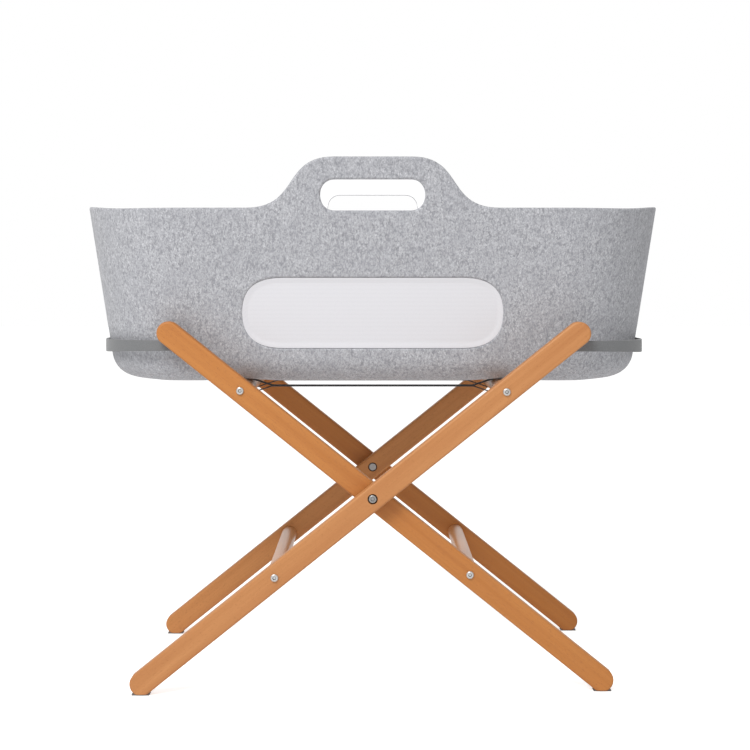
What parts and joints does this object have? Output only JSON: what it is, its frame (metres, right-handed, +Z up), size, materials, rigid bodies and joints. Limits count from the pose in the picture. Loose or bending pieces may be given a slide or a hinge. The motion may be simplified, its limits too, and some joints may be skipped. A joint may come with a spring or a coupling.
{
  "type": "moses basket",
  "caption": "Oval grey felt moses basket with two hand-hole handles and side windows, resting on a folding wooden cross stand with end straps.",
  "frame": {"origin": "on the floor, under the middle of the basket", "axes": "+X along the basket, +Y across it towards the back, +Z up"},
  "size_m": [0.8214, 0.4524, 0.73],
  "materials": {
    "beech": "satin oiled",
    "steel": "satin",
    "insert_steel": "satin",
    "washer_nylon": "matte",
    "strap_grey": "woven",
    "webbing_black": "woven",
    "glide_felt": "matte",
    "grey_felt": "matte felted",
    "white_cotton": "matte woven",
    "white_mesh": "matte knitted",
    "board": "matte",
    "foam": "matte cellular"
  },
  "bodies": {
    "floor_glides": {"foot_glides_left": "glide_felt"},
    "frame_a": {"leg_a_front": "beech", "leg_a_back": "beech", "upper_rail_a": "beech", "lower_rail_a": "beech", "rail_bolts_a": "steel", "rail_inserts_a": "insert_steel", "end_strap_a": "strap_grey", "end_strap_screws_a": "steel", "pivot_bolts": "steel", "pivot_nuts": "steel", "pivot_washers": "washer_nylon", "webbing_front": "webbing_black", "webbing_back": "webbing_black"},
    "frame_b": {"leg_b_front": "beech", "leg_b_back": "beech", "upper_rail_b": "beech", "lower_rail_b": "beech", "rail_bolts_b": "steel", "rail_inserts_b": "insert_steel", "end_strap_b": "strap_grey", "end_strap_screws_b": "steel", "foot_glides_right": "glide_felt"},
    "basket": {"felt_shell": "grey_felt", "liner": "white_cotton", "window_mesh_front": "white_mesh", "window_mesh_back": "white_mesh", "base_board": "board", "mattress_cover": "white_cotton", "mattress_core": "foam"}
  },
  "joints": [
    {"name": "frame_a_fold", "type": "hinge", "parent": "floor_glides", "child": "frame_a", "pos_m": [-0.32209, 0, 0.0015], "axis": [0, -1, 0], "range_deg": [0, 46], "deforming": ["webbing_front", "webbing_back", "end_strap_a", "end_strap_b"]},
    {"name": "frame_b_fold", "type": "hinge", "parent": "frame_a", "child": "frame_b", "pos_m": [0, 0, 0.26575], "axis": [0, -1, 0], "range_deg": [-92, 0]},
    {"name": "basket_lift", "type": "slide", "parent": "floor_glides", "child": "basket", "axis": [-0.5684, 0, 0.8227], "range_m": [0, 0.5075]}
  ],
  "couplings": [
    {"joint": "frame_b_fold", "follows": "frame_a_fold", "ratio": -2},
    {"joint": "basket_lift", "follows": "frame_a_fold", "m_per_rad": 0.63203}
  ]
}
